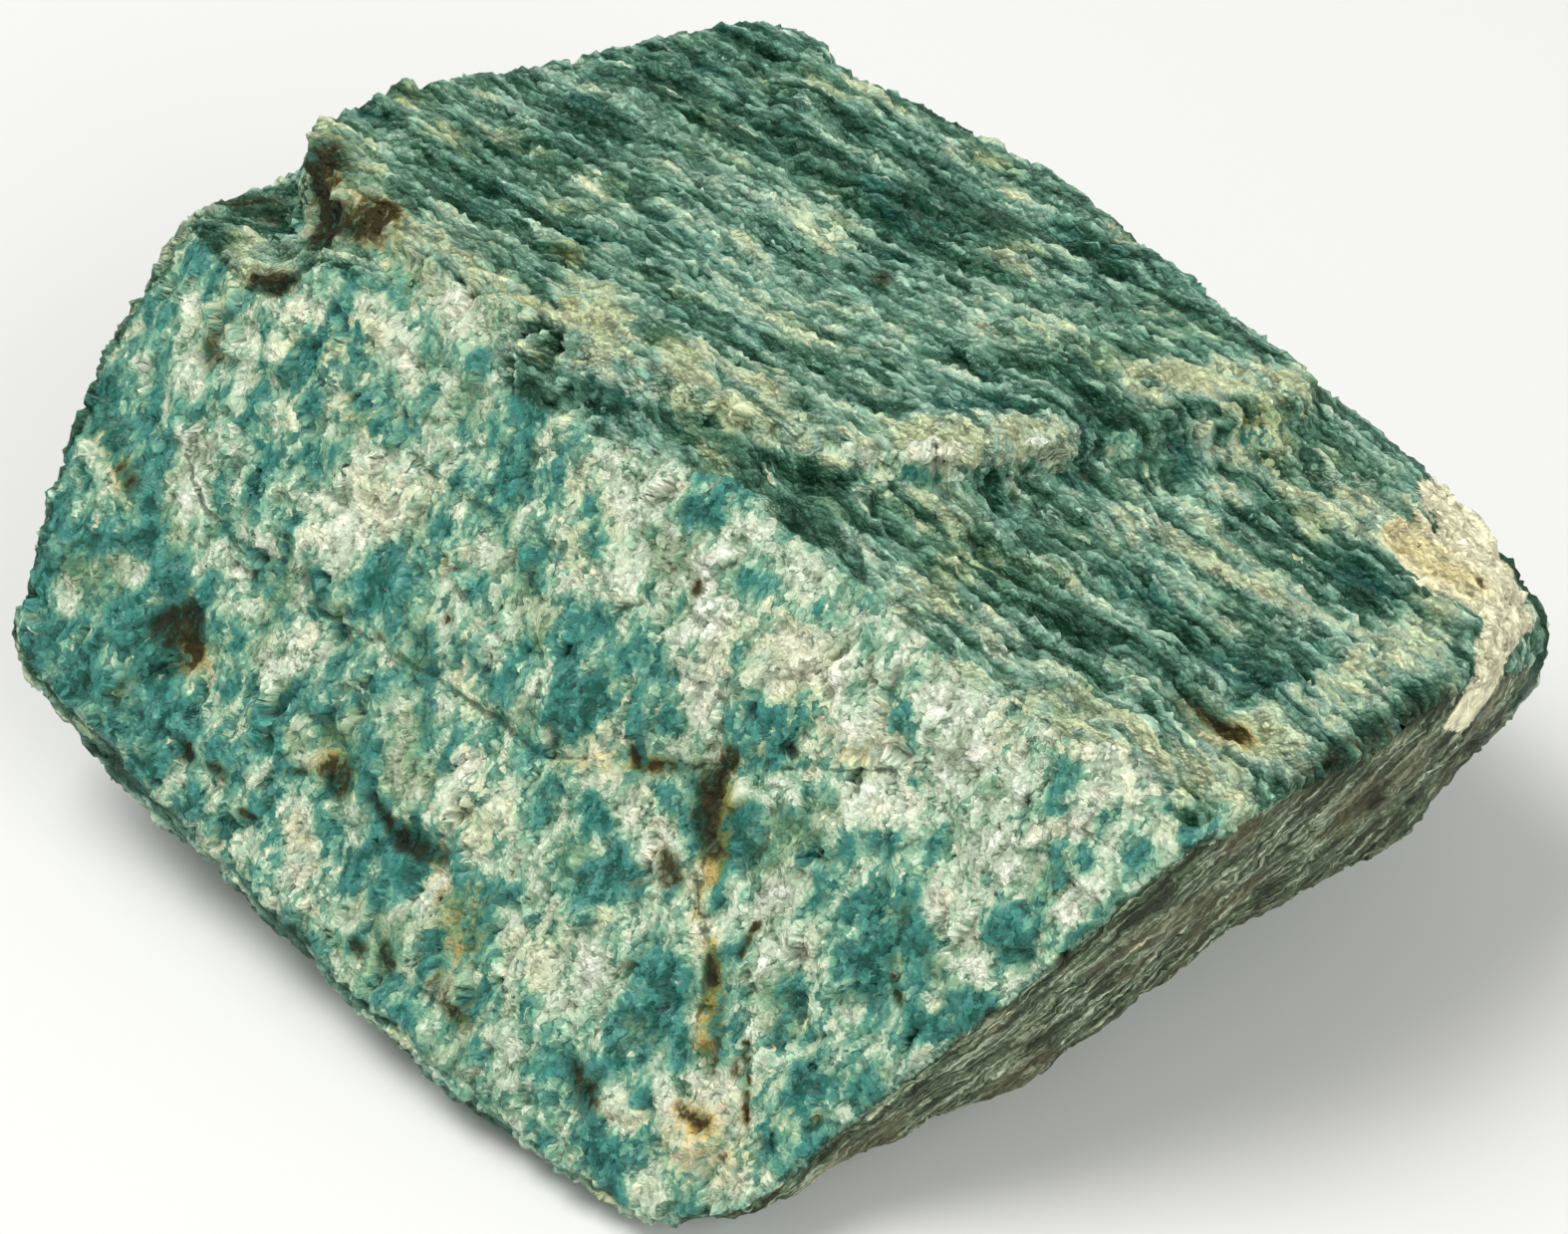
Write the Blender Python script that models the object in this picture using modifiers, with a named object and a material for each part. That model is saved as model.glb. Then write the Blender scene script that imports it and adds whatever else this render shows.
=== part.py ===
"""Rough amazonite: a broken block of green feldspar, layered along its front fracture, on a small flat spot.

Everything is in millimetres here and is scaled to metres once, at the end of the build.
+X is the block's long way, +Y runs back from the sloping front fracture, and +Z is up from the resting spot.
"""

import math

import bmesh
import bpy
from mathutils import Matrix, Vector, noise

MM = 0.001

# Overall form

# The block is what its fractures left over, so each group holds the corners where two or three of them meet.
FRONT_FOOT = [(-8.0, -34.2, 2.0), (-2.7, -34.9, 3.3), (-18.0, -27.0, 2.6), (-26.0, -18.6, 3.6)]
LEFT_FOOT = [(-33.5, -11.0, 5.0), (-40.5, -5.0, 6.5), (-45.0, -0.8, 9.5)]
LEFT_END = [(-46.9, 1.0, 13.5), (-46.6, 3.5, 16.0), (-45.0, 9.0, 20.2), (-40.8, 15.8, 27.4)]
LEFT_SHOULDER = [(-36.6, 18.2, 31.4), (-34.8, 19.0, 33.5), (-30.6, 13.0, 34.2)]
FRONT_RIDGE = [(-27.6, 11.6, 36.6), (-17.2, 4.8, 35.6), (-13.0, 2.0, 35.2), (-5.0, -3.1, 33.4),
               (1.9, -7.0, 31.7), (12.3, -14.9, 28.8), (17.3, -19.2, 27.3)]
RIGHT_EDGE = [(4.7, -31.3, 9.0), (11.8, -29.2, 15.5), (17.3, -27.2, 20.0), (22.6, -25.2, 24.2),
              (28.3, -22.2, 25.4)]
LOW_BENCH = [(33.4, -18.2, 25.1), (38.8, -13.1, 24.6), (41.3, -7.6, 25.0), (34.7, -2.7, 26.7),
             (32.6, 6.0, 28.2)]
QUARTZ_END = [(37.0, 2.6, 26.6), (40.6, 2.0, 24.0), (43.3, -1.0, 22.2), (45.8, -3.5, 18.8),
              (45.4, -4.4, 16.0)]
RIGHT_FOOT = [(0.3, -33.0, 3.0), (6.2, -30.2, 3.2), (13.4, -25.0, 4.1), (24.6, -16.4, 6.0),
              (33.2, -12.2, 7.8), (37.6, -10.2, 9.4), (42.0, -6.6, 12.0)]
BACK_EDGE = [(23.8, 17.2, 29.6), (13.2, 27.8, 30.9), (8.6, 31.2, 31.5), (-3.0, 35.6, 33.2),
             (-16.0, 29.8, 35.4), (-26.2, 23.2, 36.8)]
BACK_BULGE = [(-35.5, 24.0, 21.0), (-21.0, 34.0, 22.0), (-2.0, 40.0, 17.0), (21.0, 29.0, 14.0),
              (36.0, 12.0, 13.0)]
BACK_FOOT = [(-36.0, 9.0, 4.5), (-26.0, 22.0, 4.0), (-4.0, 33.0, 5.0), (18.0, 23.0, 4.5), (31.0, 4.0, 4.5)]
UNDERSIDE = [(-25.0, -13.0, 1.2), (-8.0, -29.5, 1.0), (2.0, -27.5, 1.2), (18.0, -12.0, 1.6),
             (22.0, 6.0, 1.8), (6.0, 22.0, 1.8), (-14.0, 22.0, 1.6), (-26.0, 8.0, 1.6)]
RESTING_SPOT = [(-18.0, -10.0), (-6.0, -22.0), (3.0, -20.0), (12.0, -9.0), (14.0, 5.0), (4.0, 15.0),
                (-10.0, 15.0), (-19.0, 5.0)]
BELOW_GROUND = 1.0

# The upper leaf of the block's layering. It ends in a ledge over the front bench and at the left shoulder.
TOP_AT_CORNER = 38.2
TOP_CORNER = (-25.0, 15.0)
TOP_FALL_X = 0.155
TOP_FALL_Y = 0.03
UPPER_LEAF = [(-27.2, 13.4), (-17.0, 6.0), (-9.6, 3.2), (3.6, -4.2), (9.4, -3.0), (22.0, 0.8), (32.2, 4.8),
              (30.2, 9.6), (24.0, 17.2), (13.6, 27.8), (9.2, 31.4), (4.6, 32.2), (-12.0, 32.6),
              (-18.0, 29.0), (-26.6, 23.6), (-28.8, 20.4), (-29.0, 17.4)]
LEAF_THICKNESS = 6.0
LEAF_INSET_SHARE = 0.86

# A thin dark leaf that is left along the back of the top, with a short drop at its right end.
BACK_LEAF = [(-12.0, 32.8), (-5.0, 30.0), (2.6, 31.4), (2.8, 34.4), (0.4, 36.2), (-3.2, 36.2), (-8.4, 34.6)]
BACK_LEAF_RISE = 0.5

# The piece that broke away at the left shoulder. Its floor falls to the left from the foot of the riser.
RISER_X = -29.3
CUT_FAR_X = -60.0
CUT_FLOOR_AT_RISER = 33.3
CUT_FLOOR_FALL = 0.05
CUT_FRONT_Y = 4.0
CUT_BACK_Y = 45.0
CUT_TOP = 50.0

# Layering. The front fracture follows it, so the edges of the layers show on the top and at both ends.
LAYER_NORMAL = Vector((-0.322, -0.649, 0.689)).normalized()
TOP_NORMAL = Vector((TOP_FALL_X, TOP_FALL_Y, 1.0)).normalized()
GRAIN = TOP_NORMAL.cross(LAYER_NORMAL).normalized()
ACROSS_TOP = TOP_NORMAL.cross(GRAIN).normalized()
DOWN_FRONT = (LAYER_NORMAL * LAYER_NORMAL.z - Vector((0.0, 0.0, 1.0))).normalized()
HIDDEN_SIDE = Vector((0.0, 0.9, -0.45)).normalized()

# Cracks in the front fracture, as points that the groove runs through. The stone is lower below the long one.
LONG_CRACK = [(-41.0, 11.0, 25.0), (-35.6, 6.0, 24.8), (-34.6, 3.0, 23.0), (-32.0, 0.5, 21.5),
              (-27.0, -4.0, 21.0), (-20.0, -8.5, 20.2), (-15.0, -12.8, 19.2), (-5.0, -16.0, 21.0),
              (6.5, -18.5, 23.0)]
STAINED_CRACK = [(-4.6, -15.6, 22.0), (-3.8, -18.0, 19.0), (-4.0, -21.5, 15.5), (-5.0, -25.5, 11.0),
                 (-5.0, -28.5, 8.5)]
CRACK_DEPTH = 0.5
CRACK_WIDTH = 1.2
STEP_BELOW_CRACK = 0.35
STEP_WIDTH = 1.5
STEP_FADES_OVER = 9.0

# Pits and lumps that stand out from a step away: a place on the surface, a radius and a height.
SINGLE_FORMS = [
    ("notch_at_shoulder", (-28.6, 14.0, 36.0), 2.6, -1.8),
    ("notch_foot", (-24.5, 11.0, 37.0), 1.8, -0.8),
    ("rusty_pit_near_shoulder", (-34.0, 9.5, 30.0), 1.6, -0.5),
    ("rusty_pit_left", (-36.0, -1.5, 17.5), 2.4, -0.9),
    ("rusty_hollow_lower_left", (-21.5, -14.5, 13.5), 3.0, -0.8),
    ("rusty_pit_below_crack", (-26.0, -10.5, 15.0), 1.6, -0.5),
    ("rusty_pit_on_bench", (24.0, -17.5, 26.5), 2.0, -0.5),
    ("white_wedge", (-4.0, -11.5, 27.0), 3.0, 0.7),
    ("white_swell_right", (9.5, -17.5, 26.0), 3.6, 0.5),
    ("ringed_swell", (13.5, -24.0, 21.5), 3.4, 0.5),
    ("cream_lump_at_ledge", (10.5, -2.0, 33.0), 2.6, 0.7),
    ("cream_lump_at_ledge_right", (15.7, -0.6, 32.0), 2.2, 0.6),
    ("cream_lump_left_of_ledge", (-10.8, 4.6, 36.4), 1.8, 0.6),
    ("cream_lump_on_ledge", (-5.5, 0.8, 35.6), 1.8, 0.5),
    ("cream_lump_on_top", (-12.6, 10.6, 37.0), 1.3, 0.8),
    ("pale_lump_at_foot", (-4.6, -31.3, 7.5), 3.4, 0.8),
]

# A point belongs to a side of the block by how straight its normal points that way, from not at all to fully.
FACES_UP = (0.84, 0.95)
FACES_DOWN = (0.90, 0.99)
FACES_FRONT = (0.72, 0.88)
FACES_BACK = (-0.1, 0.4)

# Relief. Swells run all over, tilted grains mostly on the front, and broad chips only on the hidden back.
SEED = 3
NOISE_GAP = 2.0
WEATHERING_STEPS = 3
WORN_SHARE_BELOW = 0.75
SWELL_SIZE = 16.0
SWELL_HEIGHT = 0.7
SWELL_OCTAVES = 3
GRAIN_SIZE = 5.0
GRAIN_TILT = 0.34
GRAIN_EDGE_SHARPNESS = 14.0
GRAIN_SHARE_OFF_FRONT = 0.3
TILT_SPREAD = 3.7
CHIP_SIZE = 17.0
CHIP_TILT = 0.32
CHIP_SHIFT = Vector((40.0, 0.0, 0.0))

# Ledges run across the top, and ribs round the sides where the layers are cut. Both wander with the noise.
LEDGE_SPACING = 4.2
LEDGE_LENGTH = 15.0
LEDGE_WIDTH = 8.4
LEDGE_HEIGHT = 0.75
LEDGE_MIDDLE = 0.42
LEDGE_WANDER = 1.1
LEDGE_NOISE_PLACE = 4.0
RISER_STEEPNESS = 6.0
RIB_SPACING = 2.4
RIB_LENGTH = 16.0
RIB_HEIGHT = 0.55
RUN_OCTAVES = 2

VOXEL = 0.8
FACES_KEPT = 9000
SHARP_ABOVE = math.radians(35.0)


def top_height(x, y):
    """Height of the upper leaf's plane over a place on the ground."""
    return TOP_AT_CORNER - TOP_FALL_X * (x - TOP_CORNER[0]) - TOP_FALL_Y * (y - TOP_CORNER[1])


def share_between(value, low, high):
    """How far a value is from low to high, held to 0 and 1."""
    return max(0.0, min(1.0, (value - low) / (high - low)))


def mesh_object(name, mesh, collection):
    """An object that shows this mesh, in this collection."""
    obj = bpy.data.objects.new(name, mesh)
    collection.objects.link(obj)
    return obj


def hull_object(name, corners, collection):
    """The convex block that has these corners."""
    bm = bmesh.new()
    for corner in corners:
        bm.verts.new(corner)
    made = bmesh.ops.convex_hull(bm, input=bm.verts)
    inside = {v for v in made["geom_interior"] + made["geom_unused"] if isinstance(v, bmesh.types.BMVert)}
    bmesh.ops.delete(bm, geom=list(inside), context="VERTS")
    bmesh.ops.recalc_face_normals(bm, faces=bm.faces)
    mesh = bpy.data.meshes.new(name)
    bm.to_mesh(mesh)
    bm.free()
    return mesh_object(name, mesh, collection)


def leaf_corners(outline, rise, thickness):
    """Top corners of one leaf that lies along the top's plane, and its sunk corners, set in a little."""
    middle = sum((Vector(place) for place in outline), Vector((0.0, 0.0))) / len(outline)
    corners = []
    for place in outline:
        height = top_height(*place)
        sunk = middle + (Vector(place) - middle) * LEAF_INSET_SHARE
        corners.append((place[0], place[1], height + rise))
        corners.append((sunk.x, sunk.y, height - thickness))
    return corners


def shoulder_cut_corners():
    """Corners of the piece that broke away at the left shoulder."""
    corners = []
    for x in (RISER_X, CUT_FAR_X):
        floor = CUT_FLOOR_AT_RISER - CUT_FLOOR_FALL * (RISER_X - x)
        corners += [(x, y, z) for y in (CUT_FRONT_Y, CUT_BACK_Y) for z in (floor, CUT_TOP)]
    return corners


def evaluated_mesh(obj):
    """A plain mesh of the object with its modifiers."""
    graph = bpy.context.evaluated_depsgraph_get()
    return bpy.data.meshes.new_from_object(obj.evaluated_get(graph))


def laid_on_layer(point):
    """The point without its depth through the layers, so that a crack below it counts as near."""
    return point - LAYER_NORMAL * point.dot(LAYER_NORMAL)


def way_from_path(point, path):
    """The way to a point from the nearest place on a run of straight stretches, seen square to the front."""
    flat_point = laid_on_layer(point)
    flat_path = [laid_on_layer(Vector(place)) for place in path]
    ways = []
    for start, end in zip(flat_path, flat_path[1:]):
        along = end - start
        share = max(0.0, min(1.0, (flat_point - start).dot(along) / along.length_squared))
        ways.append(flat_point - start - along * share)
    return min(ways, key=lambda way: way.length)


def tilted_facets(point, size, tilt):
    """Patches about this size, each a small plane with its own tilt, that meet in crisp but closed edges."""
    spot = point / size
    distances, centres = noise.voronoi(spot)
    total = 0.0
    weights = 0.0
    for distance, centre in zip(distances, centres):
        weight = math.exp(-GRAIN_EDGE_SHARPNESS * (distance - distances[0]))
        total += weight * noise.noise_vector(centre * TILT_SPREAD).dot(spot - centre)
        weights += weight
    return size * tilt * total / weights


def ledges(point):
    """Steps down the layering across the top. Each falls gently and ends in a riser that faces the front."""
    slow = Vector((point.dot(GRAIN) / LEDGE_LENGTH, point.dot(ACROSS_TOP) / LEDGE_WIDTH, LEDGE_NOISE_PLACE))
    wander = LEDGE_WANDER * noise.fractal(slow, 1.0, NOISE_GAP, RUN_OCTAVES)
    place = point.dot(LAYER_NORMAL) / LEDGE_SPACING + wander
    fall = place - math.floor(place)
    return LEDGE_HEIGHT * (min(fall, RISER_STEEPNESS * (1.0 - fall)) - LEDGE_MIDDLE)


def ribs(point):
    """Edges of the layers where a side cuts across them."""
    along = point.cross(LAYER_NORMAL) / RIB_LENGTH
    place = Vector((along.x, along.y, point.dot(LAYER_NORMAL) / RIB_SPACING))
    return RIB_HEIGHT * noise.fractal(place + Vector((0.0, 0.0, along.z)), 1.0, NOISE_GAP, RUN_OCTAVES)


def cracks(point):
    """Grooves along both cracks of the front, and the lower ground below the long one."""
    height = 0.0
    for path in (LONG_CRACK, STAINED_CRACK):
        height -= CRACK_DEPTH * math.exp(-((way_from_path(point, path).length / CRACK_WIDTH) ** 2))
    way = way_from_path(point, LONG_CRACK)
    step = share_between(way.dot(DOWN_FRONT), -STEP_WIDTH, STEP_WIDTH)
    return height - STEP_BELOW_CRACK * step * math.exp(-way.length / STEP_FADES_OVER)


def relief(point, normal):
    """How far the surface stands out at a point, in millimetres."""
    on_top = share_between(normal.dot(TOP_NORMAL), *FACES_UP)
    below = share_between(-normal.z, *FACES_DOWN)
    on_front = share_between(normal.dot(LAYER_NORMAL), *FACES_FRONT)
    cut_across = (1.0 - abs(normal.dot(LAYER_NORMAL))) * (1.0 - on_top)
    hidden = share_between(normal.dot(HIDDEN_SIDE), *FACES_BACK)
    grain_share = GRAIN_SHARE_OFF_FRONT + (1.0 - GRAIN_SHARE_OFF_FRONT) * on_front
    height = SWELL_HEIGHT * noise.fractal(point / SWELL_SIZE, 1.0, NOISE_GAP, SWELL_OCTAVES)
    height += grain_share * tilted_facets(point, GRAIN_SIZE, GRAIN_TILT)
    height += hidden * tilted_facets(point + CHIP_SHIFT, CHIP_SIZE, CHIP_TILT)
    height += on_top * ledges(point) + cut_across * ribs(point)
    if on_front > 0.0:
        height += on_front * cracks(point)
    for _, place, radius, rise in SINGLE_FORMS:
        height += rise * math.exp(-((point - Vector(place)).length_squared / radius ** 2))
    return height * (1.0 - WORN_SHARE_BELOW * below)


def carve(mesh):
    """Rounds the block's edges a little, and gives it its relief."""
    noise.seed_set(SEED)
    bm = bmesh.new()
    bm.from_mesh(mesh)
    for _ in range(WEATHERING_STEPS):
        bmesh.ops.smooth_vert(bm, verts=bm.verts, factor=0.5, use_axis_x=True, use_axis_y=True,
                              use_axis_z=True)
    bm.normal_update()
    moved = [v.co + v.normal * relief(v.co, v.normal) for v in bm.verts]
    for vert, place in zip(bm.verts, moved):
        vert.co = place
    bm.to_mesh(mesh)
    bm.free()


def cut_flat(mesh):
    """Takes off what is below the ground, which leaves the small flat spot that the stone stands on."""
    bm = bmesh.new()
    bm.from_mesh(mesh)
    everything = bm.verts[:] + bm.edges[:] + bm.faces[:]
    cut = bmesh.ops.bisect_plane(bm, geom=everything, plane_co=(0, 0, 0), plane_no=(0, 0, -1),
                                 clear_outer=True)
    rim = [e for e in cut["geom_cut"] if isinstance(e, bmesh.types.BMEdge)]
    bmesh.ops.holes_fill(bm, edges=rim)
    bmesh.ops.triangulate(bm, faces=bm.faces)
    bmesh.ops.recalc_face_normals(bm, faces=bm.faces)
    bm.to_mesh(mesh)
    bm.free()


def centre_and_scale(mesh):
    """Puts the middle of the stone's box over the origin, and turns millimetres into metres."""
    xs = [v.co.x for v in mesh.vertices]
    ys = [v.co.y for v in mesh.vertices]
    middle = Vector(((min(xs) + max(xs)) / 2, (min(ys) + max(ys)) / 2, 0.0))
    mesh.transform(Matrix.Scale(MM, 4) @ Matrix.Translation(-middle))


def amazonite_material():
    """Blue-green feldspar with a soft glassy lustre."""
    material = bpy.data.materials.new("amazonite")
    material.use_nodes = True
    shader = material.node_tree.nodes["Principled BSDF"]
    shader.inputs["Base Color"].default_value = (0.14, 0.33, 0.29, 1.0)
    shader.inputs["Roughness"].default_value = 0.5
    shader.inputs["Metallic"].default_value = 0.0
    return material


def build_stone():
    """One solid: the block with its leaves, less the shoulder's piece, with its relief and its flat spot."""
    stone_parts = bpy.data.collections.new("rough_amazonite")
    helpers = bpy.data.collections.new("helpers")
    for collection in (stone_parts, helpers):
        bpy.context.scene.collection.children.link(collection)

    resting = [(x, y, -BELOW_GROUND) for x, y in RESTING_SPOT]
    block_corners = (FRONT_FOOT + LEFT_FOOT + LEFT_END + LEFT_SHOULDER + FRONT_RIDGE + RIGHT_EDGE + LOW_BENCH
                     + QUARTZ_END + RIGHT_FOOT + BACK_EDGE + BACK_BULGE + BACK_FOOT + UNDERSIDE + resting)
    block = hull_object("block", block_corners, helpers)
    upper_leaf = hull_object("upper_leaf", leaf_corners(UPPER_LEAF, 0.0, LEAF_THICKNESS), helpers)
    back_leaf = hull_object("back_leaf", leaf_corners(BACK_LEAF, BACK_LEAF_RISE, LEAF_THICKNESS / 2), helpers)
    shoulder_cut = hull_object("shoulder_cut", shoulder_cut_corners(), helpers)
    for helper, operation in ((upper_leaf, "UNION"), (back_leaf, "UNION"), (shoulder_cut, "DIFFERENCE")):
        step = block.modifiers.new(helper.name, "BOOLEAN")
        step.operation = operation
        step.object = helper
    remesh = block.modifiers.new("even_mesh", "REMESH")
    remesh.mode = "VOXEL"
    remesh.voxel_size = VOXEL

    stone = mesh_object("stone", evaluated_mesh(block), stone_parts)
    carve(stone.data)
    thin = stone.modifiers.new("thin_out", "DECIMATE")
    thin.ratio = FACES_KEPT / (2 * len(stone.data.polygons))
    thinned = evaluated_mesh(stone)
    stone.modifiers.clear()
    stone.data = thinned
    cut_flat(stone.data)
    centre_and_scale(stone.data)
    stone.data.materials.append(amazonite_material())
    stone.data.shade_smooth()
    stone.data.set_sharp_from_angle(angle=SHARP_ABOVE)
    for helper in (block, upper_leaf, back_leaf, shoulder_cut):
        bpy.data.objects.remove(helper)
    return stone


def main():
    for obj in list(bpy.data.objects):
        bpy.data.objects.remove(obj)
    build_stone()


main()
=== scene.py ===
"""Rough amazonite: the looks of one broken block of green feldspar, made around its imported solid.

The file is laid out as an add-on and run as a script. One operator makes the stone and one the stage.
Sizes are in millimetres where they are named or commented so, and the frame and every mesh are in metres.
"""

import math
from types import SimpleNamespace

import bmesh
import bpy
import numpy as np
from bpy.props import FloatProperty, FloatVectorProperty, IntProperty, PointerProperty
from mathutils import Matrix, Vector
from mathutils.bvhtree import BVHTree


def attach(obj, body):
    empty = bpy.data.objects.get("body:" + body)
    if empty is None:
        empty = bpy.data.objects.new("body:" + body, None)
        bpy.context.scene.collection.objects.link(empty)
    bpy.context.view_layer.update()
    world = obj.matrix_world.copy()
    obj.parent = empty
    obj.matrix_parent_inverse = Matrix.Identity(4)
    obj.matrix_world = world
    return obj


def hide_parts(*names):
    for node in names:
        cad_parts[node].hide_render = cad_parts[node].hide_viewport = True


bl_info = {
    "name": "Rough Amazonite",
    "version": (1, 0, 0),
    "blender": (4, 5, 0),
    "location": "View3D > Sidebar > Amazonite",
    "description": "Dresses a broken block of green feldspar and sets it on a plain stage",
    "category": "Object",
}

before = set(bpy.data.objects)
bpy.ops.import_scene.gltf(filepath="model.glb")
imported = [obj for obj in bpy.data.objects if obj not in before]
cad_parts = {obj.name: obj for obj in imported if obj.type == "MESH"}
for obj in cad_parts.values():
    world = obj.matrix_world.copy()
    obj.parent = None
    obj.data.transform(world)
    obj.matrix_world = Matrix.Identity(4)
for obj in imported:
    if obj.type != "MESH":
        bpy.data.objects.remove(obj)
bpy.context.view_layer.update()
MM = 0.001

# How far one step of the seed moves the patterns, and how near two points are to be merged, in metres.
SEED_SHIFT = 0.1
MERGE_DISTANCE = 0.00001

# The middle of a noise's colour, and the lean of plates that lie flat.
MIDDLE = (0.5, 0.5, 0.5)
NO_LEAN = (0.0, 0.0, 0.0)

# What the mesh tells of each of its points: the marks that the relief and the material read, and the broad
# patterns that the relief leaves for the material.
RELIEF_MARKS = ("front", "right", "across", "worn", "pale", "deep", "crack")
LOOK_MARKS = ("right", "across", "layered", "crack", "stain", "ochre", "quartz", "honey", "rind")
FIELDS = ("whiteness", "hue", "spots", "stands_out")

# How well a point's broad normal has to fit a side of the block for the side's mark to start and to be full.
FRONT_FIT = (0.66, 0.86)
BEYOND_TOP_FIT = (-0.02, 0.16)
RIGHT_FIT = (0.72, 0.90)
WORN_FIT = (0.85, 0.99)

# How often the solid's facets, its broad normals and the relief's height are evened out.
ROUNDING_STEPS = 7
NORMAL_STEPS = 12
HEIGHT_STEPS = 5

# Forms of the patterns along the grain, up the front and through the layers, as shares of the sizes that the
# panel gives. The plates also have how much they all lean to the back of the top, and how much each leans its
# own way. The rows and ribs have their noise's detail.
PLATE_FORMS = {"Plate": ((3.8, 1.9, 1.0), -1.1, 1.0), "Facet": ((1.0, 1.6, 0.7), 0.0, 2.4),
               "Crumb": ((1.0, 1.3, 0.8), 0.0, 1.5)}
ROW_FORMS = {"Row": ((7.0, 2.5, 1.0), 3.0), "Rib": ((9.0, 9.0, 1.0), 2.0)}
PATCH_FORM = (1.0, 1.7, 0.75)
BAND_FORM = (7.5, 4.2, 1.0)
HUE_FORM = (2.6, 3.6, 1.6)

# The same leans for the flakes and grains that the material draws, and how much their height differs.
FLAKE_LEAN = -1.6
FLAKE_OWN_LEAN = 2.4
FLAKE_STEP = 0.4

# The bend of all patterns, the depth of a crack and the depth of the finest bumps, in millimetres.
BEND_SIZE = 3.0
BEND_AMOUNT = (1.1, 1.1, 0.15)
CRACK_DEPTH = 0.15
BUMP_DEPTH = 0.5

# A rust spot's radius as a share of the gap between spots, and the shares of it where the spot fades.
SPOT_RADIUS = 0.16
SMALLEST_SPOT = 0.001
SPOT_FADE = (1.9, 0.2)

# How much the pale and the deep marks count in the whiteness, and where clean feldspar turns white.
PALE_SHARE = 0.28
DEEP_SHARE = 0.18
WHITE_FADE = (-0.12, 0.12)

# How strong the mark of the top or of the right side is where its fine patterns start.
TOP_PATTERN_FROM = 0.25
RIGHT_PATTERN_FROM = 0.5

# Sizes of the fine patterns on the front, the top and the right side, in millimetres along the grain, up the
# front and through the layers. The dust is the same all over, and it tears the edges of the others a little.
STREAKS = ((0.5, 1.6, 0.5), (2.8, 1.4, 0.34), (3.4, 3.4, 0.3))
FLAKES = ((0.5, 0.75, 0.42), (1.7, 0.9, 0.42), (3.0, 3.0, 0.5))
GRAINS = ((0.22, 0.28, 0.2), (0.5, 0.38, 0.22), (1.2, 1.2, 0.24))
DUST = (0.3, 0.3, 0.3)
TEAR = (0.5, 0.5, 0.2)

# Where a placed marking starts to fade and where it ends, in half widths.
EDGES = {"stain": (0.0, 2.2), "ochre": (0.0, 2.2), "honey": (0.0, 2.0)}
PLAIN_EDGE = (0.55, 1.45)

# The stone's layering. The front fracture follows it, and the top and the right side cut across it.
LAYER_NORMAL = Vector((-0.322, -0.649, 0.689)).normalized()
TOP_NORMAL = Vector((0.155, 0.03, 1.0)).normalized()
RIGHT_SIDE_NORMAL = Vector((0.52, -0.80, -0.31)).normalized()
GRAIN = TOP_NORMAL.cross(LAYER_NORMAL).normalized()
UP_THE_FRONT = LAYER_NORMAL.cross(GRAIN)
LAYER_TURN = Matrix((GRAIN, UP_THE_FRONT, LAYER_NORMAL)).transposed().to_euler()
DOWN_THE_TOP = GRAIN.cross(TOP_NORMAL)
DOWN_THE_TOP_IN_LAYERS = Vector((0.0, DOWN_THE_TOP.dot(UP_THE_FRONT), DOWN_THE_TOP.dot(LAYER_NORMAL)))

# The camera stands where the photograph's did. Its image is 1574 by 1239 pixels.
IMAGE_WIDTH = 1574
IMAGE_HEIGHT = 1239
CAMERA_TARGET = Vector((0.000812, -0.002589, 0.017))
CAMERA_TILT = math.radians(45.0)
CAMERA_DISTANCE = 0.275
CAMERA_LENS = 105.0
SENSOR_WIDTH = 36.0
CAMERA_TURN = Matrix.Rotation(CAMERA_TILT, 3, "X")
CAMERA_PLACE = CAMERA_TARGET + CAMERA_TURN @ Vector((0.0, 0.0, CAMERA_DISTANCE))
NEAREST_SEEN = 0.01

# The stage: half the floor's width, and where each square light stands and how wide it is.
FLOOR_REACH = 3.0
LIGHTS = {"key": ((-0.26, 0.05, 0.62), 0.35), "fill": ((0.32, -0.38, 0.38), 0.4)}

# Markings that sit where the photograph shows them. Each has half its width in millimetres, its strength,
# and the pixels of the image that its line runs through.
STROKES = {}

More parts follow.
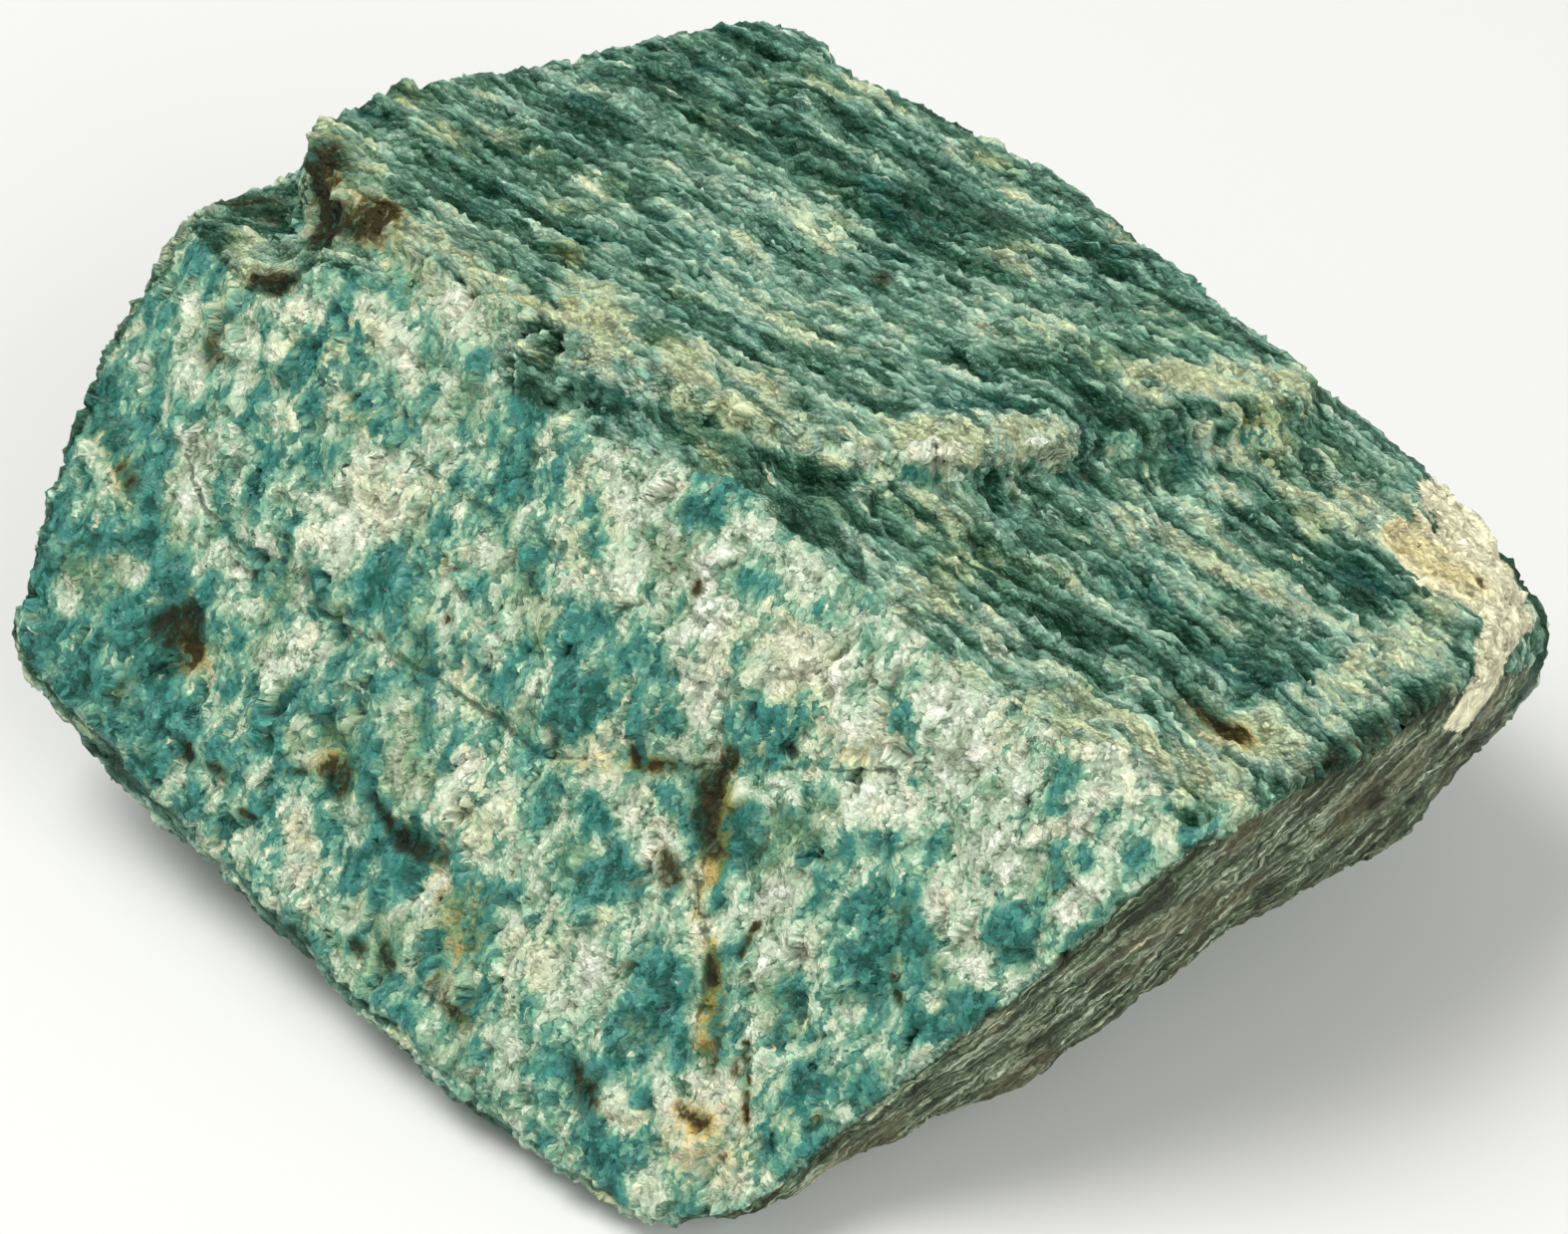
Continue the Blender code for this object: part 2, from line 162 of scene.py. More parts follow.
# White and cream feldspar, with some painted light where noted below.
STROKES["pale"] = {
    "pale lump on the crack": (0.7, 1.0, [(463, 762), (475, 764)]),
    "mint patch below the crack": (1.9, 0.5, [(470, 800), (500, 850)]),
    "pale below the middle": (1.3, 0.8, [(625, 800), (645, 830), (660, 852)]),
    "pale right of the seam": (1.9, 0.8, [(760, 900), (785, 950)]),
    "pale above the lower left": (1.1, 0.7, [(430, 905), (438, 890)]),
    "cream halfway down the seam": (0.7, 0.9, [(708, 876), (702, 905), (700, 935)]),
    "cream foot of the seam": (2.6, 0.9, [(700, 1120), (712, 1150)]),
    "white wedge": (1.7, 1.0, [(722, 556), (714, 620), (703, 700)]),
    "white right of the wedge": (2.6, 0.9, [(780, 640), (815, 690)]),
    "cream right in front": (2.6, 0.9, [(945, 760), (975, 700)]),
    "cream under the ridge": (2.0, 0.8, [(630, 500), (650, 480)]),
    "cream above the left": (2.4, 0.9, [(345, 530), (380, 490)]),
    "white below the crack": (1.7, 0.8, [(285, 662), (308, 655)]),
    "white low right": (2.0, 0.7, [(950, 865), (962, 845)]),
    "pale band on the top": (2.2, 0.3, [(570, 80), (700, 150), (800, 210), (900, 265), (1010, 330)]),
    "pale strip along the ridge": (2.2, 0.7, [(365, 225), (430, 260), (499, 300), (545, 325)]),
    # The ledge's strokes from here to the patch right of it are its real cream, made stronger than 1 and so
    # whiter than cream, as painted light where the ledge faces away from the main light.
    "cream edge of the ledge": (1.2, 1.4, [(575, 352), (640, 372), (700, 395), (780, 430), (860, 455)]),
    "cream lumps left of the ledge": (2.0, 1.3, [(580, 300), (600, 320), (615, 338)]),
    "cream patch above the ledge": (2.0, 1.1, [(690, 365), (760, 400)]),
    "cream lumps at the ledge": (1.6, 1.5, [(930, 440), (1000, 437), (1060, 440)]),
    "cream patch right of the ledge": (1.7, 1.3, [(1150, 385), (1290, 380)]),
    "cream streak on the bench": (0.8, 1.1, [(1129, 512), (1200, 555), (1271, 591), (1345, 625),
                                             (1419, 645)]),
    "cream grain on the bench": (1.0, 1.0, [(1225, 490), (1245, 500)]),
    "light edge of the bench": (1.8, 0.9, [(1260, 745), (1370, 680), (1452, 612)]),
    "light corner of the bench": (2.0, 0.5, [(1190, 770), (1285, 760)]),
    "white patch under the notch": (1.4, 0.9, [(247, 252), (275, 275)]),
    "white veil at the shoulder": (1.1, 0.6, [(350, 290), (385, 320), (405, 350)]),
    "cream streak at the shoulder": (0.8, 0.9, [(277, 350), (296, 313)]),
    "long cream streak left of it": (1.0, 0.9, [(190, 318), (192, 386)]),
    "short cream streak between them": (0.8, 0.8, [(248, 338), (246, 384)]),
    "pale left end": (0.9, 0.9, [(98, 450), (102, 470)]),
    "peach cream by the crack": (1.2, 0.9, [(199, 447), (197, 495)]),
    "cream above the left stain": (0.9, 0.9, [(222, 556), (244, 568)]),
    "cream left of the stain": (0.9, 0.9, [(122, 566), (138, 574)]),
    "pale far left": (1.1, 0.9, [(60, 590), (70, 606)]),
    "pale left of the lower stain": (1.1, 0.9, [(296, 742), (318, 752)]),
    "cream low left": (1.1, 0.9, [(298, 818), (300, 868)]),
    "yellow band by the rhomb": (1.3, 0.9, [(820, 745), (880, 768)]),
    "white under the yellow band": (1.5, 1.0, [(866, 790), (900, 808)]),
    "white arc above the ringed teal": (0.9, 0.9, [(955, 850), (1000, 840), (1040, 836), (1080, 832)]),
    "white arc under the ringed teal": (0.9, 0.9, [(1015, 880), (1040, 904), (1076, 910), (1108, 880),
                                                   (1114, 842)]),
    "pale right of the dark teal": (1.2, 0.8, [(950, 895), (958, 950), (982, 960)]),
    "cream yellow near the lower ridge": (1.2, 0.9, [(1080, 740), (1108, 756)]),
    "cream band near the lower ridge": (1.2, 0.9, [(1021, 690), (1127, 710)]),
    "big pale patch low on the front": (2.4, 0.8, [(540, 940), (580, 985)]),
    "white lump low on the front": (1.0, 1.0, [(618, 1110), (628, 1120)]),
    "cream grain above the bench": (0.8, 1.0, [(1208, 425), (1212, 455)]),
    "cream line above the dark slab": (0.7, 0.9, [(1220, 445), (1270, 478), (1330, 512), (1390, 545)]),
    "mint corner of the bench": (2.0, 0.8, [(1050, 690), (1115, 735), (1185, 770)]),
    # A broad stroke that makes the right of the front paler, as painted light.
    "painted light on the right of the front": (7.0, 0.35, [(740, 600), (1000, 780)]),
    "cream left of the quartz": (1.4, 0.9, [(1360, 505), (1415, 520)]),
}

# Clean teal feldspar, and dark slots and slabs of the top, with painted shade where noted below.
STROKES["deep"] = {
    "green quad above the long crack": (0.9, 0.8, [(422, 640), (436, 662)]),
    "teal above the crack's bend": (0.9, 0.7, [(476, 658), (484, 676)]),
    "narrow teal by the wedge": (0.8, 0.8, [(692, 650), (684, 700), (678, 728)]),
    "narrow teal left of it": (0.6, 0.8, [(640, 696), (636, 728)]),
    "dark grey by the seam": (1.2, 1.0, [(752, 820), (745, 870), (738, 895)]),
    "teal below the middle": (0.8, 0.8, [(586, 805), (606, 828), (622, 845)]),
    "teal lower left": (1.1, 0.7, [(392, 890), (420, 855)]),
    "clean teal at the left": (2.6, 0.7, [(365, 590), (405, 600)]),
    "smooth teal rhomb": (2.2, 0.9, [(755, 725), (800, 735)]),
    "cleavage face at the ridge": (2.0, 1.0, [(765, 480), (803, 525)]),
    "teal under the ridge": (1.7, 0.7, [(745, 600), (765, 605)]),
    "dark teal in the middle": (1.3, 1.0, [(600, 890), (612, 868)]),
    "dark teal above the crack": (1.7, 1.0, [(563, 722), (580, 705)]),
    "dark teal at the left": (1.9, 1.0, [(285, 738), (298, 716)]),
    "blue left end": (2.2, 0.8, [(112, 635), (132, 625)]),
    "teal under the shoulder": (1.9, 0.8, [(262, 498), (280, 470)]),
    "dark teal by the ridge": (1.7, 1.0, [(512, 428), (530, 402)]),
    "deep teal at the shoulder": (2.2, 0.8, [(360, 300), (372, 258)]),
    "green at the shoulder": (1.7, 0.7, [(210, 262), (222, 240)]),
    "teal with white at the ridge": (1.7, 0.6, [(700, 515), (712, 492)]),
    "teal lower right": (2.0, 0.8, [(870, 950), (884, 920)]),
    "teal right of it": (1.7, 0.8, [(1018, 945), (1030, 925)]),
    "dark by the seam": (1.9, 1.0, [(905, 880), (918, 850)]),
    "teal at the foot": (1.7, 0.9, [(795, 1155), (806, 1130)]),
    "teal left of the foot": (1.9, 0.9, [(640, 1035), (665, 995)]),
    "dark band above the pale band": (1.6, 0.8, [(616, 77), (740, 140), (830, 184), (960, 233)]),
    "dark slab at the back": (2.4, 0.7, [(610, 35), (720, 38), (815, 50)]),
    "dark spot at the outline": (2.0, 1.0, [(955, 105), (1010, 150)]),
    "dark bench": (2.2, 0.8, [(560, 358), (640, 380), (740, 420), (830, 465)]),
    "dark hole at the ledge": (1.1, 0.8, [(955, 412), (990, 412)]),
    "teal below the shoulder": (1.4, 0.8, [(262, 392), (300, 350)]),
    "dark teal up the left end": (0.8, 0.9, [(127, 350), (127, 442)]),
    "dark teal above the crack's start": (0.9, 0.9, [(151, 470), (152, 488)]),
    "teal under the left stain": (1.0, 0.9, [(148, 680), (162, 684)]),
    "green teal low left": (1.0, 0.8, [(130, 745), (140, 757)]),
    "teal low left": (0.9, 0.8, [(264, 822), (272, 832)]),
    "dark teal right of the white": (1.1, 1.0, [(935, 790), (945, 818)]),
    "ringed teal": (1.0, 0.9, [(1064, 856), (1086, 862)]),
    "teal low right": (1.0, 0.9, [(970, 1010), (984, 1014)]),
    "dark teal low right": (0.8, 1.0, [(926, 1030), (932, 1040)]),
    "teal right of the pale": (0.9, 0.8, [(792, 975), (796, 992)]),
    "teal left of the white": (1.0, 0.8, [(796, 832), (806, 848)]),
    "teal near the lower ridge": (1.1, 0.8, [(1048, 770), (1066, 776)]),
    "teal band under the ridge": (1.0, 0.9, [(905, 722), (922, 748)]),
    "dark teal above the pale patch": (0.9, 0.9, [(522, 903), (532, 912)]),
    "teal under the pale patch": (0.9, 0.9, [(590, 1008), (600, 1020)]),
    "teal left of the seam": (0.7, 0.9, [(672, 985), (680, 1040), (688, 1095)]),
    "teal at the lower edge": (1.3, 0.9, [(590, 1150), (608, 1180)]),
    "teal right of the foot": (1.0, 0.8, [(808, 1082), (816, 1096)]),
    "dark slot behind the ridge": (0.6, 0.7, [(520, 342), (580, 366), (640, 384)]),
    "dark slab above the bench": (1.6, 0.7, [(1105, 420), (1180, 460)]),
    "dark slab by the quartz": (1.0, 0.8, [(1190, 470), (1300, 545), (1400, 592), (1480, 625)]),
    "dark band along the bench": (2.6, 0.3, [(1000, 545), (1100, 600), (1200, 650), (1290, 690)]),
    # A broad stroke that makes the left end darker, as painted shade.
    "painted shade on the left end": (7.0, 0.6, [(80, 480), (130, 700)]),
}

# Places on the front that look like the top, because the layers end there.
STROKES["layered"] = {
    "layers across the dark bench": (2.4, 1.0, [(540, 356), (600, 385), (700, 425), (800, 462)]),
    "layers across the near bench": (2.4, 1.0, [(830, 500), (930, 560), (1020, 640), (1090, 700)]),
}

# Cracks and dark lines. The seam is the stained crack that runs down the front.
STROKES["crack"] = {
    "dotted dark line": (0.3, 0.8, [(711, 716), (726, 690), (743, 672), (756, 640)]),
    "long crack": (0.22, 1.0, [(189, 457), (204, 508), (245, 554), (326, 615), (439, 681), (510, 732),
                               (541, 758), (700, 768), (900, 775)]),
    "seam": (0.25, 0.9, [(700, 740), (697, 790), (708, 850), (700, 905), (711, 950), (703, 1006),
                                  (695, 1060), (684, 1100)]),
    "dark line along the bench": (0.3, 0.7, [(905, 545), (1000, 655)]),
}

# Brown rust stains.
STROKES["stain"] = {
    "dark dot left of the wedge": (0.35, 0.9, [(696, 585), (699, 594)]),
    "dark stretch of the crack": (0.4, 0.7, [(640, 768), (700, 770), (735, 772)]),
    "small brown by the teal": (0.35, 0.8, [(636, 886), (641, 889)]),
    "brown low left": (0.5, 0.8, [(354, 945), (360, 953)]),
    "brown below it": (0.5, 0.8, [(388, 952), (392, 968)]),
    "rust at the top of the seam": (0.7, 0.9, [(716, 776), (706, 818), (713, 850)]),
    "rust halfway down the seam": (0.3, 0.9, [(712, 962), (714, 988)]),
    "olive right of the seam": (0.5, 0.45, [(724, 985), (718, 1045), (712, 1070)]),
    "stain in the notch": (1.8, 0.85, [(318, 165), (330, 225)]),
    "stain right of the notch": (1.3, 1.0, [(330, 225), (380, 222)]),
    "stain under the notch": (0.9, 0.9, [(262, 280), (285, 283)]),
    "stain near the shoulder": (1.2, 0.6, [(213, 352), (225, 330)]),
    "stain at the left": (1.2, 0.9, [(172, 628), (192, 622), (187, 652)]),
    "stain below the left": (0.7, 0.8, [(182, 755), (188, 758)]),
    "stain below the crack": (0.9, 0.9, [(337, 775), (342, 786)]),
    "stain in the lower hollow": (0.8, 0.7, [(410, 840), (434, 858)]),
    "stain low on the front": (0.9, 0.7, [(589, 1096), (592, 1108)]),
    "stain beside the seam": (0.7, 0.8, [(668, 862), (672, 880)]),
    "stain on the bench": (0.8, 0.8, [(1195, 708), (1240, 740)]),
    "brown band under the right edge": (1.0, 0.6, [(1310, 785), (1380, 740), (1450, 700)]),
    "olive streaks left of the notch": (1.1, 0.6, [(222, 205), (250, 200), (280, 215)]),
    "brown specks left end": (0.5, 0.7, [(125, 470), (133, 486)]),
    "brown line left of the lower stain": (0.3, 0.7, [(291, 775), (330, 775)]),
    "brown ring low left": (0.5, 0.7, [(212, 770), (222, 778)]),
    "brown rim of the hollow": (0.4, 0.9, [(374, 800), (388, 822), (402, 848), (428, 860)]),
    "brown speck low left": (0.4, 0.9, [(246, 816), (254, 820)]),
    "brown speck by the rhomb": (0.3, 0.9, [(793, 750), (797, 756)]),
    "brown specks low right": (0.3, 0.9, [(894, 985), (903, 1006)]),
    "brown olive lower left": (0.8, 0.6, [(440, 985), (462, 1022)]),
    "brown specks at the foot": (0.3, 0.9, [(685, 1110), (688, 1120)]),
    "brown specks right of the foot": (0.25, 0.8, [(735, 1078), (748, 1047), (750, 1124)]),
    "dark specks by the seam": (0.3, 0.8, [(760, 928), (744, 958)]),
}

# Yellow tints of thin rust.
STROKES["ochre"] = {
    "yellow in the middle": (0.7, 0.5, [(612, 680), (616, 696)]),
    "brown green in the middle": (0.6, 0.5, [(548, 615), (556, 635)]),
    "crack's stained stretch": (0.6, 0.7, [(560, 765), (610, 765), (660, 768)]),
    "ochre lower left": (1.1, 0.8, [(448, 905), (460, 930), (464, 955)]),
    "ochre at the top of the seam": (0.8, 1.3, [(726, 795), (722, 850), (713, 880)]),
    "ochre on the cream by the crack": (0.6, 1.0, [(706, 880), (701, 915)]),
    "ochre low on the seam": (0.5, 1.4, [(715, 950), (713, 990), (707, 1018), (703, 1050)]),
    "yellow foot of the seam": (2.2, 0.75, [(705, 1130), (712, 1150)]),
    "ochre below the hollow": (1.6, 0.8, [(461, 920), (462, 945)]),
    "ochre on the bench": (1.5, 0.5, [(1190, 705), (1250, 745)]),
    "ochre at the top left": (1.2, 0.6, [(350, 415), (360, 420)]),
    "orange lump on the top": (1.0, 1.0, [(566, 250), (580, 252)]),
    "rust on the top's back edge": (1.6, 0.8, [(398, 95), (425, 98)]),
    "ochre left end": (1.3, 0.6, [(98, 420), (112, 445), (130, 485)]),
    "ochre round the lower stain": (1.2, 0.7, [(325, 755), (340, 748), (352, 775)]),
    "ochre round the left stain": (1.3, 0.5, [(195, 660), (205, 668)]),
    "ochre in the cream low left": (0.8, 0.6, [(296, 825), (304, 840)]),
    "orange in the yellow band": (0.6, 0.6, [(845, 760), (876, 774)]),
    "cream orange low right": (0.7, 0.5, [(942, 1014), (954, 1022)]),
    "ochre tint above the quartz": (2.2, 0.35, [(1290, 420), (1380, 470)]),
    "yellow tint left on the top": (3.5, 0.45, [(340, 190), (470, 265), (580, 320)]),
    "yellow tint right on the top": (3.5, 0.4, [(1040, 330), (1150, 395), (1290, 460)]),
}

# Milky quartz at the right end.
STROKES["quartz"] = {
    "quartz cap": (2.6, 1.0, [(1460, 515), (1490, 560), (1515, 600)]),
    "quartz tongue": (2.0, 1.0, [(1420, 545), (1450, 575), (1500, 605)]),
    "quartz down the end": (1.5, 1.0, [(1515, 610), (1500, 660), (1475, 715)]),
}

# Its honey-coloured side.
STROKES["honey"] = {
    "yellow side of the quartz": (1.6, 1.0, [(1400, 530), (1430, 560), (1470, 585)]),
}

# The green rind round it.
STROKES["rind"] = {
    "green rind of the quartz": (0.9, 1.0, [(1513, 563), (1545, 600), (1555, 640), (1527, 700)]),
}


def linear(hex_colour):
    """Linear values of a hex sRGB colour, with alpha 1."""
    values = [int(hex_colour[i:i + 2], 16) / 255 for i in (1, 3, 5)]
    red, green, blue = (v / 12.92 if v <= 0.04045 else ((v + 0.055) / 1.055) ** 2.4 for v in values)
    return red, green, blue, 1.0


def input_name(setting):
    """A setting's name as a node tree's input shows it."""
    return setting.replace("_", " ").title()


def length_setting(name, description, millimetres):
    """A length that a user sees in scene units and that defaults to a size in millimetres."""
    return FloatProperty(name=name, description=description, default=millimetres * MM, min=0.0,
                         unit="LENGTH", precision=5)


def colour_setting(name, description, hex_colour):
    """A colour of the material, given as a hex sRGB value."""
    return FloatVectorProperty(name=name, description=description, default=linear(hex_colour), size=4,
                               min=0.0, max=1.0, subtype="COLOR")


def number_setting(name, description, default, **hints):
    """A number from 0 up, with a unit or a subtype where one fits."""
    return FloatProperty(name=name, description=description, default=default, min=0.0, **hints)


class StoneShape(bpy.types.PropertyGroup):
    """Sizes of the stone's broken surface."""

    mesh_size: length_setting("Mesh Size", "Distance between the mesh's points", 0.36)
    plate_size: length_setting("Plate Size", "Thickness of the broken plates on the top", 0.75)
    plate_height: length_setting("Plate Height", "Height of a plate's edge", 0.36)
    row_size: length_setting("Row Size", "Thickness of the layers that stand out as rows on the top", 1.6)
    row_height: length_setting("Row Height", "How far the rows stand out", 0.38)
    facet_size: length_setting("Facet Size", "Width of a cleavage facet on the front", 1.7)
    facet_height: length_setting("Facet Height", "How far the front's facets stand out", 0.55)
    rib_size: length_setting("Rib Size", "Distance between ribs on the right side", 1.0)
    rib_height: length_setting("Rib Height", "How far the ribs stand out", 0.8)
    crumb_size: length_setting("Crumb Size", "Width of the small broken grains", 0.85)
    crumb_height: length_setting("Crumb Height", "How far the small grains stand out", 0.28)
    patch_size: length_setting("Patch Size", "Width of a clean patch on the front", 1.9)
    band_size: length_setting("Band Size", "Thickness of a coloured band on the top", 1.2)
    spot_gap: length_setting("Spot Gap", "Distance between places where a rust spot may be", 4.5)
    most_triangles: IntProperty(name="Most Triangles", description="Triangles that the stone may have",
                                default=196000)
    seed: IntProperty(name="Seed", description="Number that the random patterns start from", default=4)


RELIEF_SETTINGS = [name for name in StoneShape.__annotations__
                   if name not in ("mesh_size", "most_triangles", "seed")]


class StoneColours(bpy.types.PropertyGroup):
    """Colours of the stone's minerals and stains."""

    deep_teal: colour_setting("Deep Teal", "Thick clear feldspar", "#195a4c")
    teal: colour_setting("Teal", "Clean cleavage faces", "#3b8075")
    green: colour_setting("Green", "Feldspar with a little white in it", "#6b9d82")
    pale_green: colour_setting("Pale Green", "Feldspar with much white in it", "#97ba9a")
    cream: colour_setting("Cream", "White feldspar streaks, a little yellow", "#c4d2b8")
    warm_cream: colour_setting("Warm Cream", "White feldspar that rust has yellowed", "#d0d097")
    white: colour_setting("White", "The whitest grains", "#e4e7da")
    olive: colour_setting("Olive", "Feldspar that a little rust has dulled", "#76905f")
    # Top Dark is the top's dark green, and also painted shade at the flakes' near sides and in the hollows
    # between them; it colours the cracks and the quartz's rind too.
    top_dark: colour_setting("Top Dark", "Slots between the flakes of the top", "#1d4832")
    top_green: colour_setting("Top Green", "Flakes of the top", "#45715a")
    top_teal: colour_setting("Top Teal", "Bluer flakes of the top", "#28655e")
    top_light: colour_setting("Top Light", "Thin flakes of the top", "#719d86")
    # Top Pale is the flakes' pale broken edges, and also painted light on their far rims.
    top_pale: colour_setting("Top Pale", "Broken edges of the flakes", "#9dbea7")
    top_cream: colour_setting("Top Cream", "Cream grains between the flakes", "#c0d1ac")
    # Side Dark is where the right side's streaks are lowest, which are also the grooves of the ribs that the
    # bump draws there.
    side_dark: colour_setting("Side Dark", "Dirt between the ribs of the right side", "#26311d")
    side_green: colour_setting("Side Green", "Weathered green of the right side", "#566a4c")
    side_brown: colour_setting("Side Brown", "Rust-dulled streaks of the right side", "#62583c")
    side_pale: colour_setting("Side Pale", "Pale streaks of the right side", "#9aa88a")
    quartz: colour_setting("Quartz", "Milky quartz of the right end", "#f0ecc8")
    quartz_shade: colour_setting("Quartz Shade", "Clearer grains of the quartz", "#a5a880")
    honey: colour_setting("Honey", "Quartz that rust has tinted", "#dccd8a")
    rust: colour_setting("Rust", "Brown-black stain in the pits", "#201e0c")
    rust_glaze: colour_setting("Rust Glaze", "Thin rust over the feldspar", "#5c5b40")
    ochre: colour_setting("Ochre", "Yellow stain round the rust", "#a3802f")
    ochre_glaze: colour_setting("Ochre Glaze", "Thin yellow stain over the feldspar", "#f8d183")


class StageLook(bpy.types.PropertyGroup):
    """The floor and the light."""

    floor: colour_setting("Floor", "Plain pale floor", "#e9e9e6")
    floor_roughness: number_setting("Floor Roughness", "How matt the floor is", 0.8, subtype="FACTOR")
    key_watts: number_setting("Key Light", "Power of the main soft light in watts", 3.4, unit="POWER")
    fill_watts: number_setting("Fill Light", "Power of the weaker light in watts", 1.6, unit="POWER")
    sky: number_setting("Sky", "Strength of the even light from all round", 0.35)


def add_node(tree, kind, links, **settings):
    """Adds one node, with its settings, and its inputs by name or number.

    An input is a plain value, another node, whose first output is linked, or a node with an output's name.
    """
    node = tree.nodes.new(kind)
    for name, value in settings.items():
        setattr(node, name, value)
    for name, value in links.items():
        if isinstance(value, bpy.types.Node):
            value = (value, 0)
        if isinstance(value, tuple) and isinstance(value[0], bpy.types.Node):
            tree.links.new(value[0].outputs[value[1]], node.inputs[name])
        else:
            node.inputs[name].default_value = value
    return node


def sized_texture(tree, kind, place, size, links, **settings):
    """A noise or cell texture of this size along the grain, up the front and through the layers."""
    sized = add_node(tree, "ShaderNodeVectorMath", {0: place, 1: size}, operation="DIVIDE")
    return add_node(tree, kind, {"Vector": sized, "Scale": 1.0, **links}, **settings)


def weighed(tree, start, *terms):
    """A starting number plus values that each count with a share."""
    total = start
    for value, share in terms:
        total = add_node(tree, "ShaderNodeMath", {0: value, 1: share, 2: total}, operation="MULTIPLY_ADD")
    return total


def centred_noise(tree, place, size, detail, **inputs):
    """A noise of this size, from about -0.5 to 0.5, and its own node."""
    noise = sized_texture(tree, "ShaderNodeTexNoise", place, size, {"Detail": detail, **inputs})
    return weighed(tree, -0.5, (noise, 1.0)), noise


def sum_of(tree, here, start, **shares):
    """A starting number plus some of what is known of a point, each counted with a share."""
    return weighed(tree, start, *((getattr(here, name), share) for name, share in shares.items()))


def coated(tree, colour, *coats, blend="MIX"):
    """A colour with coats over it.

    A coat is a value, what that value is where the coat starts and is full, the full share, and a colour.
    """
    for value, low, high, most, paint in coats:
        share = add_node(tree, "ShaderNodeMapRange", {"Value": value, "From Min": low, "From Max": high,
                                                      "To Max": most}, interpolation_type="SMOOTHSTEP")
        mixed = add_node(tree, "ShaderNodeMix", {"Factor": share, 6: colour, 7: paint}, data_type="RGBA",
                         blend_type=blend)
        colour = (mixed, 2)
    return colour


def smooth_share(values, low, high):
    """How far each value is from low to high, held to 0 and 1 and eased at both ends."""
    share = np.clip((values - low) / (high - low), 0.0, 1.0)
    return share * share * (3.0 - 2.0 * share)


def stone_base(shape):
    """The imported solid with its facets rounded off, as an even mesh that is fine enough for the relief."""
    solid = bmesh.new()
    solid.from_mesh(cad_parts["stone"].data)
    bmesh.ops.remove_doubles(solid, verts=solid.verts, dist=MERGE_DISTANCE)
    mesh = bpy.data.meshes.new("stone_base")
    solid.to_mesh(mesh)
    solid.free()
    base = bpy.data.objects.new("stone_base", mesh)
    bpy.context.scene.collection.objects.link(base)
    even = base.modifiers.new("even_mesh", "REMESH")
    even.mode = "VOXEL"
    even.voxel_size = shape.mesh_size
    rounded = base.modifiers.new("rounded_facets", "SMOOTH")
    rounded.iterations = ROUNDING_STEPS
    return base


def evaluated_mesh(obj):
    """A plain mesh of the object with its modifiers."""
    graph = bpy.context.evaluated_depsgraph_get()
    return bpy.data.meshes.new_from_object(obj.evaluated_get(graph))


def numbers(values, name, width):
    """One property of every item of a mesh as rows of numbers."""
    flat = np.zeros(len(values) * width, np.float32)
    values.foreach_get(name, flat)
    return flat.reshape(-1, width).astype(float)


def broad_normals(mesh, steps):
    """The mesh's normals, evened out over a few millimetres, so that they tell which side a point is on."""
    normals = numbers(mesh.vertices, "normal", 3)
    edges = np.zeros(len(mesh.edges) * 2, np.int32)
    mesh.edges.foreach_get("vertices", edges)
    first, second = edges.reshape(-1, 2).T
    for _ in range(steps):
        total = normals.copy()
        for axis in range(3):
            total[:, axis] += np.bincount(first, normals[second, axis], len(normals))
            total[:, axis] += np.bincount(second, normals[first, axis], len(normals))
        normals = total / np.linalg.norm(total, axis=1)[:, None]
    return normals


def sight(tree, pixel):
    """The place on the stone that a pixel of the photograph shows, or the nearest place at the outline."""
    across = (pixel[0] - IMAGE_WIDTH / 2) / IMAGE_WIDTH * SENSOR_WIDTH
    up = (IMAGE_HEIGHT / 2 - pixel[1]) / IMAGE_WIDTH * SENSOR_WIDTH
    way = (CAMERA_TURN @ Vector((across, up, -CAMERA_LENS))).normalized()
    place, _, _, _ = tree.ray_cast(CAMERA_PLACE, way)
    if place is None:
        place, _, _, _ = tree.find_nearest(CAMERA_PLACE + way * CAMERA_DISTANCE)
    return np.array(place)


def distance_from_line(points, line):
    """Distance of each point from a run of straight stretches."""
    nearest = np.full(len(points), np.inf)
    for start, end in zip(line, line[1:]):
        along = end - start
        share = np.clip((points - start) @ along / (along @ along), 0.0, 1.0)
        nearest = np.minimum(nearest, np.linalg.norm(points - start - share[:, None] * along, axis=1))
    return nearest


def paint_marks(base_mesh):
    """Marks that say what each point is: its side of the block, and the listed markings near it."""
    points = numbers(base_mesh.vertices, "co", 3)
    normals = broad_normals(base_mesh, NORMAL_STEPS)
    along_layers = np.abs(normals @ np.array(LAYER_NORMAL))
    more_than_top = along_layers - normals @ np.array(TOP_NORMAL)
    on_front = smooth_share(along_layers, *FRONT_FIT) * smooth_share(more_than_top, *BEYOND_TOP_FIT)
    on_right = smooth_share(normals @ np.array(RIGHT_SIDE_NORMAL), *RIGHT_FIT)
    worn = smooth_share(-normals[:, 2], *WORN_FIT)
    across = (1.0 - on_front) * (1.0 - on_right)
    marks = {"front": on_front, "right": on_right, "across": across, "worn": worn}
    tree = BVHTree.FromPolygons([v.co for v in base_mesh.vertices], [p.vertices for p in base_mesh.polygons])
    for mark, strokes in STROKES.items():
        marks[mark] = np.zeros(len(points))
        fades, ends = EDGES.get(mark, PLAIN_EDGE)
        for half_width, strength, pixels in strokes.values():
            line = [sight(tree, pixel) for pixel in pixels]
            near = distance_from_line(points, line) / (half_width * MM)
            marks[mark] = np.maximum(marks[mark], strength * (1.0 - smooth_share(near, fades, ends)))
    for name, values in marks.items():
        stored = base_mesh.attributes.new(name, "FLOAT", "POINT")
        stored.data.foreach_set("value", values.astype(np.float32))


